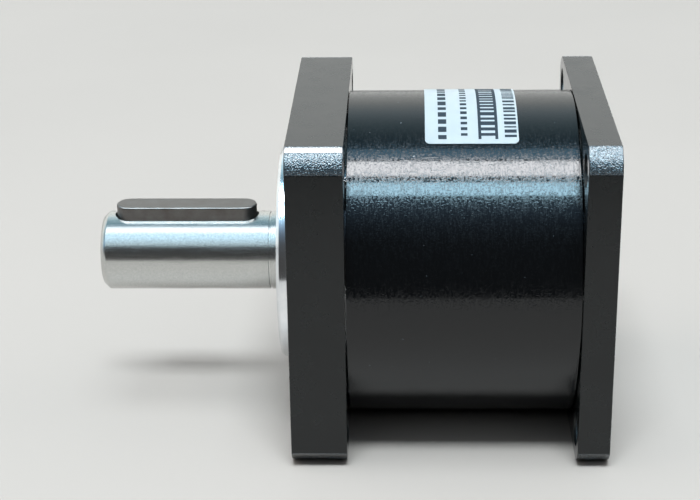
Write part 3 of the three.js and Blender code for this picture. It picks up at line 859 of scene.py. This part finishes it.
def oil_seal():
    seal = revolved("lip_seal", [
        (-2.1, 12.3), (-1.9, 12.5), (1.4, 12.5), (1.6, 12.3), (1.6, 11.3), (-0.9, 11.3), (-1.1, 10.4),
        (-0.9, 9.4), (-0.2, 8.7), (0.9, 8.1), (0.6, 7.35), (0.2, 7.25), (-0.2, 7.35), (-1.2, 8.2),
        (-1.6, 8.8), (-1.75, 9.6), (-1.75, 11.2), (-2.1, 11.6),
    ], 128)
    place(seal, "housing", "seal_rubber", RUBBER, "oil_seal")


def o_ring(name, groove, node):
    middle = sum(groove) / 2
    sides = 16
    thick, circle = O_RING["section"], O_RING["circle"]
    turns = [TURN * i / sides for i in range(sides)]
    section = [(middle + thick * math.cos(a), circle + thick * math.sin(a)) for a in turns]
    place(revolved(name, section, 128), "housing", "seal_rubber", RUBBER, node)


def circlip():
    """Internal circlip: a flat band open at one side with two eyed lugs."""
    opening = 0.18
    steps = 64
    start, end = CIRCLIP_SPAN
    angles = [opening + (TURN - 2 * opening) * i / steps for i in range(steps + 1)]
    outline = [spoke(14.8, a + math.pi / 2) for a in angles]
    outline += [spoke(13.0, a + math.pi / 2) for a in reversed(angles)]
    band = prism("internal_circlip", outline, start, end)
    lug, lug_circle = 1.2, 12.9
    eye, eye_circle = 0.6, 12.8
    for angle in (math.pi / 2 + 0.24, math.pi / 2 - 0.24):
        join(band, shifted(rod("lug", lug, start, end, segments=24), lug_circle, angle))
        cut(band, shifted(rod("tool", eye, start - 0.4, end + 0.7, segments=20), eye_circle, angle))
    place(band, "housing", "spring_steel", SPRING, "housing_circlip")


# ---- label ----


def curved_patch(bm, x0, x1, a0, a1, radius, thickness, corner=0.0):
    """Closed thin patch wrapped on the body: x0..x1 along it, a0..a1 degrees from the top."""
    length = radius * math.radians(a1 - a0)
    steps = max(1, round(abs(a1 - a0) / 1.5))
    stations = sorted({0.0, length} | {length * i / steps for i in range(steps + 1)})
    if corner:
        turns = [corner * (1 - math.cos(math.radians(t))) for t in range(0, 91, 15)]
        stations = sorted(set(stations) | set(turns) | {length - t for t in turns})
    rows = []
    for s in stations:
        inset = 0.0
        near = min(s, length - s)
        if corner and near < corner:
            inset = corner - math.sqrt(max(0.0, corner**2 - (corner - near) ** 2))
        angle = UP - math.radians(a0) - s / radius
        low_y, low_z = spoke(radius, angle)
        high_y, high_z = spoke(radius + thickness, angle)
        rows.append([
            bm.verts.new((x0 + inset, low_y, low_z)), bm.verts.new((x1 - inset, low_y, low_z)),
            bm.verts.new((x1 - inset, high_y, high_z)), bm.verts.new((x0 + inset, high_y, high_z)),
        ])
    bm.faces.new(rows[0])
    bm.faces.new(list(reversed(rows[-1])))
    for row, after in zip(rows, rows[1:]):
        for i in range(4):
            j = (i + 1) % 4
            bm.faces.new((row[i], row[j], after[j], after[i]))


def label():
    """Film label and its print: plain bars and stripes, no lettering."""
    film = bmesh.new()
    thick = 0.1
    curved_patch(film, *LABEL_SPAN, -LABEL_REACH, LABEL_REACH, LABEL_FACE - thick, thick, corner=0.9)
    place(new_object("label_film_sheet", film), "housing", "label_film", FILM, "body_label")
    place(film_print(), "housing", "label_film", INK)


def film_print():
    """Print of the label: two rows of blocks, a ladder between two rails and a row of narrow bars."""
    ink = bmesh.new()
    surface = LABEL_FACE + 0.005
    thin = 0.012
    source = random.Random(57)
    print_end = 27.5

    def bar(x0, x1, low, high):
        curved_patch(ink, x0, x1, low, high, surface, thin)

    block_rows = ((24.9, 26.3, 1.9, 3.2), (28.7, 29.8, 1.0, 2.0))
    for x0, x1, shortest, longest in block_rows:
        angle = print_end
        while angle > 0.5 - print_end:
            length = source.uniform(shortest, longest)
            bar(x0, x1, max(angle - length, -print_end), angle)
            angle -= length + 1.5
    ladder_top = print_end + 0.3
    for x0, x1 in ((31.6, 32.1), (34.4, 34.9)):
        bar(x0, x1, -print_end, ladder_top)
    angle = ladder_top
    while angle > 1.5 - print_end:
        width = source.uniform(1.3, 2.4)
        bar(32.1, 34.4, angle - width, angle)
        angle -= width + source.uniform(0.7, 1.3)
    angle = print_end - 0.5
    while angle > 0.5 - print_end:
        width = source.choice((0.7, 1.1, 1.6))
        bar(36.0, 38.0, angle - width, angle)
        angle -= width + source.choice((0.7, 1.0, 1.4))
    return new_object("label_print", ink)


# ---- output shaft and carrier ----


def key_outline(length, width, middle):
    """Round-ended bar outline as (x, y) points."""
    reach = (length - width) / 2
    points = arc((middle + reach, 0), width / 2, -math.pi / 2, math.pi / 2, 20)
    points += arc((middle - reach, 0), width / 2, math.pi / 2, 1.5 * math.pi, 20)
    return points


def standing_bar(name, outline, z0, z1):
    """Extrudes an (x, y) outline upward from z0 to z1."""
    bar = prism(name, outline, z0, z1)
    bar.data.transform(Matrix(((0, 1, 0, 0), (0, 0, 1, 0), (1, 0, 0, 0), (0, 0, 0, 1))))
    return bar


def web_outline(angle):
    """Carrier web between two planets: straight sides that widen toward a round rim."""
    last_radius, last_width = WEB_SIDE[-1]
    rim = math.atan2(last_width, last_radius)
    points = [(r, -w) for r, w in WEB_SIDE]
    turns = [rim * (i / 8 - 1) for i in range(1, 16)]
    points += [(WEB_RIM * math.cos(a), WEB_RIM * math.sin(a)) for a in turns]
    points += [(r, w) for r, w in reversed(WEB_SIDE)]
    return [spoke(math.hypot(r, w), angle + math.atan2(w, r)) for r, w in points]


def output_carrier():
    """Output shaft with its keyway, in one piece with the carrier's front plate and webs."""
    middle = (KEY_START + KEY_END) / 2
    relief = SHAFT_RADIUS - 0.3
    seat_start, seat_end = 1.9, 19.3
    plate_start, plate_end = FRONT_PLATE
    shaft = revolved("output_shaft_and_carrier", [
        (SHAFT_TIP + 3, 0), (SHAFT_TIP + 0.2, 1.55), (SHAFT_TIP, 1.75), (SHAFT_TIP, 6.0),
        (SHAFT_TIP + 0.06, 6.15), (SHAFT_TIP + 0.9, 6.94), (SHAFT_TIP + 1.1, SHAFT_RADIUS),
        (-4.75, SHAFT_RADIUS), (-4.7, relief), (-4.4, relief), (-4.35, SHAFT_RADIUS),
        (seat_start, SHAFT_RADIUS), (seat_start, SEAT_RADIUS), (seat_end, SEAT_RADIUS),
        (seat_end, SHOULDER_RADIUS), (plate_start, SHOULDER_RADIUS), (plate_start, PLATE_RADIUS - 0.3),
        (plate_start + 0.3, PLATE_RADIUS), (plate_end - 0.3, PLATE_RADIUS),
        (plate_end, PLATE_RADIUS - 0.3), (plate_end, 0),
    ], 160)
    for angle in WEB_ANGLES:
        web = prism("web", web_outline(angle), plate_end - 1, REAR_PLATE[0] - 0.3)
        join(shaft, broken_edges(web, 0.2, 1, 50))
    slot = key_outline(KEY_END - KEY_START + 0.7, KEY_WIDTH + 0.12, middle)
    cut(shaft, standing_bar("tool", slot, KEY_FLOOR, KEY_TOP + 3))
    for angle in WEB_ANGLES:
        hole = rod("tool", CARRIER_SCREW["shank"] + 0.3, CARRIER_SCREW["tip"] - 0.5, 42, segments=24)
        cut(shaft, shifted(hole, CARRIER_SCREW_CIRCLE, angle))
    for angle in PLANET_ANGLES:
        hole = rod("tool", PIN_HOLE, PIN_SPAN[0] - 0.3, plate_end + 1, segments=32)
        cut(shaft, shifted(hole, ORBIT, angle))
    place(shaft, "output", "ground_steel", GROUND, "output_carrier")


def shaft_key():
    middle = (KEY_START + KEY_END) / 2
    outline = key_outline(KEY_END - KEY_START, KEY_WIDTH, middle)
    key = standing_bar("round_ended_key", outline, KEY_FLOOR + 0.15, KEY_TOP)
    broken_edges(key, 0.32, 3, 50)
    place(key, "output", "key_steel", KEY, "shaft_key")


def carrier_rear_plate():
    start, end = REAR_PLATE
    before, past = start - 1.4, end + 1.6
    plate = tube("carrier_cover_plate", REAR_PLATE_BORE, PLATE_RADIUS, start, end, 0.3, 128)
    for angle in PLANET_ANGLES:
        cut(plate, shifted(rod("tool", PIN_HOLE, before, past, segments=32), ORBIT, angle))
    hole, cone = 1.6, 2.7
    for i, angle in enumerate(WEB_ANGLES, 1):
        sink = [
            (before, 0), (before, hole), (end - 1.6, hole),
            (end - 0.5, cone), (past, cone), (past, 0),
        ]
        cut(plate, shifted(revolved("tool", sink, 32), CARRIER_SCREW_CIRCLE, angle))
        screw = countersunk_screw(
            f"carrier_countersunk_screw_{i}", CARRIER_SCREW, CARRIER_SCREW_CIRCLE, angle
        )
        place(screw, "output", "black_screw", SCREW, f"carrier_screw_{i}")
    place(plate, "output", "gear_steel", GEAR, "carrier_rear_plate")


# ---- gear train ----


def planet(index, angle):
    """Planet gear with its bush, its pin and a thrust washer on each side."""
    body = f"planet_{index}"
    gear = external_gear(f"{body}_gear_wheel", PLANET_TEETH, planet_phase(angle), GEAR_FRONT, GEAR_REAR)
    cut(gear, rod("tool", GEAR_BORE, GEAR_FRONT - 1.2, GEAR_REAR + 1.8, segments=48))
    broken_edges(gear, 0.1, 1, 60)
    place(shifted(gear, ORBIT, angle), body, "gear_steel", GEAR, f"planet_gear_{index}")
    bush = tube(f"{body}_bush", PIN_HOLE, BUSH_RADIUS, GEAR_FRONT + 0.3, GEAR_REAR - 0.3)
    place(shifted(bush, ORBIT, angle), body, "bronze", BRONZE, f"planet_bush_{index}")
    pin = shifted(rod(f"{body}_pin", PIN_RADIUS, *PIN_SPAN, 0.3), ORBIT, angle)
    place(pin, "output", "bearing_steel", BEARING, f"planet_pin_{index}")
    for side, x in WASHER_STARTS:
        washer = tube(f"{body}_{side}_washer", PIN_HOLE, WASHER_RADIUS, x, x + WASHER_THICKNESS, 0.1)
        washer = shifted(washer, ORBIT, angle)
        place(washer, "output", "bronze", BRONZE, f"thrust_washer_{side}_{index}")


def sun_input_shaft():
    """Sun gear on the hollow shaft that takes the motor's shaft."""
    start, seat, end = 39.6, 45.8, 51.6
    neck, collar, bore_floor = 6.1, 5.7, 40.8
    gear = external_gear("sun_gear_and_input_shaft", SUN_TEETH, 0, GEAR_FRONT, start + 0.2)
    broken_edges(gear, 0.1, 1, 60)
    sleeve = revolved("sleeve", [
        (start, 0), (start, neck - 0.3), (start + 0.3, neck), (seat, neck), (seat, collar),
        (end - 0.3, collar), (end, collar - 0.3), (end, MOTOR_BORE + 0.4), (end - 0.4, MOTOR_BORE),
        (bore_floor + 0.4, MOTOR_BORE), (bore_floor, MOTOR_BORE - 0.4), (bore_floor, 0),
    ], 96)
    join(gear, sleeve)
    place(gear, "input", "gear_steel", GEAR, "sun_input_shaft")


# ---- bearings ----


def race(size, side, x0):
    """Ring outline with a round raceway; side is +1 for the outer ring and -1 for the inner one."""
    land = size["pitch"] + side * size["ball"] * 0.5
    reach = size["ball"] + 0.12
    middle = x0 + size["width"] / 2
    rim = math.acos(size["ball"] * 0.5 / reach)
    groove = []
    for i in range(13):
        a = rim * (1 - i / 6)
        groove.append((middle + reach * math.sin(a), size["pitch"] + side * reach * math.cos(a)))
    back = size["outside"] if side > 0 else size["bore"]
    edge = 0.3
    inward = side * edge
    return [
        (x0, back - inward), (x0 + edge, back), (x0 + size["width"] - edge, back),
        (x0 + size["width"], back - inward), (x0 + size["width"], land + side * 0.1),
        (x0 + size["width"] - 0.1, land),
    ] + groove + [(x0 + 0.1, land), (x0, land + side * 0.1)]


def balls_in_cage(name, size, x0):
    """Pressed cage with a ball in each of its pockets."""
    middle = x0 + size["width"] / 2
    half = size["ball"] * 0.72
    cage = tube(name, size["pitch"] - 0.25, size["pitch"] + 0.25, middle - half, middle + half, 0.05, 96)
    for i in range(size["balls"]):
        bm = bmesh.new()
        bmesh.ops.create_icosphere(bm, subdivisions=3, radius=size["ball"])
        ball = new_object("ball", bm)
        ball.data.transform(Matrix.Translation((middle, 0, 0)))
        join(cage, shifted(ball, size["pitch"], i * TURN / size["balls"]))
    return cage


def bearings():
    for name, (size, x0) in BEARINGS.items():
        inner_body = "input" if name == "input" else "output"
        rings = (("outer", 1, "housing"), ("inner", -1, inner_body))
        for which, side, body in rings:
            ring = revolved(f"{name}_bearing_{which}_race", race(size, side, x0), 96)
            place(ring, body, "bearing_steel", BEARING, f"{name}_bearing_{which}_ring")
        cage = balls_in_cage(f"{name}_bearing_balls", size, x0)
        place(cage, f"{name}_cage", "bearing_steel", BEARING, f"{name}_bearing_ball_cage")


# ---- stage ----

LAMP_DISTANCE = 2


def floor():
    """Table top; it ends a little way in front of the object."""
    bm = bmesh.new()
    near, far, side = -0.18, 5, 4
    corners = ((-side, near), (side, near), (side, far), (-side, far))
    bm.faces.new([bm.verts.new((x, y, 0)) for x, y in corners])
    ground = new_object("pale_floor", bm)
    ground.data.materials.append(floor_surface())


def area_light(name, length, width, radiance, color=(1, 1, 1)):
    """Rectangular light; its strength is a radiance, whatever its size."""
    data = bpy.data.lights.new(name, "AREA")
    data.shape = "RECTANGLE"
    data.size = length
    data.size_y = width
    data.energy = radiance * math.pi * length * width
    data.color = color
    obj = bpy.data.objects.new(name, data)
    bpy.context.scene.collection.objects.link(obj)
    return obj


def hang_overhead(obj, tilt, lit):
    """Hangs a light above the object, tilted toward the camera's side, and aims it at the object."""
    obj.location = (0, -LAMP_DISTANCE * math.sin(tilt), LAMP_DISTANCE * math.cos(tilt))
    obj.rotation_euler = (tilt, 0, 0)
    obj.light_linking.receiver_collection = lit


def strip_light(name, start, end, radiance, color, lit):
    """Long light along the gear axis; it spans two tilts from overhead, in degrees."""
    width = 2 * LAMP_DISTANCE * math.tan(math.radians((end - start) / 2))
    obj = area_light(name, 6, width, radiance, color)
    hang_overhead(obj, math.radians((start + end) / 2), lit)


def side_fill(name, side, radiance):
    """Large light beside the object for soft shadows; glossy parts don't show it."""
    obj = area_light(name, 1.6, 1.6, radiance)
    obj.location = (side * 1.5, 0.1, 1.3)
    obj.rotation_euler = (0, side * math.radians(50), 0)
    obj.visible_glossy = False


def floor_lamp(name, radiance, degrees, length, width, lit, blockers):
    """Lamp for the floor alone; only the blockers, or everything when None, shade it."""
    obj = area_light(name, length, width, radiance, (0.78, 0.915, 1))
    hang_overhead(obj, math.radians(degrees), lit)
    obj.light_linking.blocker_collection = blockers


def lights():
    """Strips for the bright bands on the metal, soft fills, and lamps for the floor."""
    side_fill("left_fill", -1, 2.8)
    side_fill("right_fill", 1, 1.5)
    ground, shaft, others = (
        bpy.data.collections.new(name) for name in ("lit_floor", "lit_shaft", "lit_others")
    )
    for obj in bpy.context.scene.objects:
        if obj.type != "MESH":
            continue
        if obj.name == "pale_floor":
            ground.objects.link(obj)
        elif obj.name.startswith("output_shaft"):
            shaft.objects.link(obj)
        else:
            others.objects.link(obj)
    floor_lamp("floor_lamp", 13, 3, 0.9, 0.6, ground, None)
    floor_lamp("floor_lamp_past_shaft", 84, 18.5, 0.9, 0.35, ground, others)
    floor_lamp("floor_glow", 1.0, 15, 4, 4, ground, None)
    strip_light("white_strip", 3.5, 15, 18.5, (0.97, 0.98, 1), others)
    strip_light("blue_strip", 20, 29.5, 18.5, (0.52, 0.83, 1), others)
    strip_light("blue_glow", -7, 1.5, 2.4, (0.35, 0.7, 1), others)
    strip_light("white_shaft_strip", -2, 16, 2.1, (0.95, 0.98, 1), shaft)
    strip_light("blue_shaft_strip", 16, 56, 0.9, (0.7, 0.92, 1), shaft)


def studio_world():
    """Bright wall behind the object, dimmer ceiling, dark room on the camera's side.

    The level depends on the tilt from overhead, in degrees, positive toward the camera's side.
    """
    world = bpy.data.worlds.new("studio")
    world.use_nodes = True
    bpy.context.scene.world = world
    graph = Graph(world.node_tree)
    _, y, z = graph.split(graph.add("TexCoord").outputs["Generated"])
    tilt = graph.math("ARCTAN2", y, z)
    levels = (
        (-90, (0.85, 0.86, 0.84)), (-62, (0.96, 1.0, 0.98)), (-45, (0.72, 0.9, 0.98)),
        (-30, (0.4, 0.6, 0.68)), (-15, (0.16, 0.3, 0.38)), (32, (0.42, 0.68, 0.95)),
        (41, (0.22, 0.34, 0.48)), (50, (0.11, 0.15, 0.2)), (62, (0.06, 0.065, 0.07)),
        (78, (0.055, 0.055, 0.055)),
    )
    stops = [(0.5 + degrees / 180, color) for degrees, color in levels]
    room = graph.tree.nodes["Background"]
    room.inputs["Strength"].default_value = 1.2
    wall_to_camera = graph.scaled(tilt, 0, 1, math.pi / 2, -math.pi / 2)
    graph.link(graph.ramp(wall_to_camera, *stops), room.inputs["Color"])
    backdrop = graph.add("Background")
    backdrop.inputs["Color"].default_value = (0.66, 0.67, 0.66, 1)
    choice = graph.add("MixShader")
    graph.link(graph.add("LightPath").outputs["Is Camera Ray"], choice.inputs["Fac"])
    graph.link(room.outputs["Background"], choice.inputs[1])
    graph.link(backdrop.outputs["Background"], choice.inputs[2])
    graph.link(choice.outputs["Shader"], graph.tree.nodes["World Output"].inputs["Surface"])
    world.cycles_visibility.diffuse = False


def camera():
    """Long lens above the object's side, looking a little down on it."""
    azimuth, elevation, roll = (math.radians(v) for v in (2.05, 22.53, -0.82))
    distance = 0.314
    target = Vector((-0.3 * MM, 0, AXIS_Z - 0.1 * MM))
    back = Vector((
        math.sin(azimuth) * math.cos(elevation),
        -math.cos(azimuth) * math.cos(elevation),
        math.sin(elevation),
    ))
    right = Vector((0, 0, 1)).cross(back).normalized()
    up = back.cross(right)
    leaned = right * math.cos(roll) + up * math.sin(roll)
    data = bpy.data.cameras.new("camera")
    data.lens = 90
    data.sensor_width = 36
    data.clip_start = 0.01
    obj = bpy.data.objects.new("camera", data)
    turn = Matrix((leaned, back.cross(leaned), back)).transposed().to_4x4()
    obj.matrix_world = Matrix.Translation(target + back * distance) @ turn
    bpy.context.scene.collection.objects.link(obj)
    bpy.context.scene.camera = obj


# ---- everything ----

front_housing()
rear_flange()
ring_gear_body()
assembly_screws()
oil_seal()
o_ring("front_o_ring", FRONT_GROOVE, "o_ring_front")
o_ring("rear_o_ring", REAR_GROOVE, "o_ring_rear")
spacer = tube("outer_ring_spacer", 12.5, 14, 9.5, 11.7)
place(spacer, "housing", "gear_steel", GEAR, "bearing_spacer")
circlip()
label()
output_carrier()
shaft_key()
carrier_rear_plate()
for index, angle in enumerate(PLANET_ANGLES, 1):
    planet(index, angle)
sun_input_shaft()
bearings()
floor()
lights()
studio_world()
camera()
bpy.context.scene.view_settings.view_transform = "Standard"
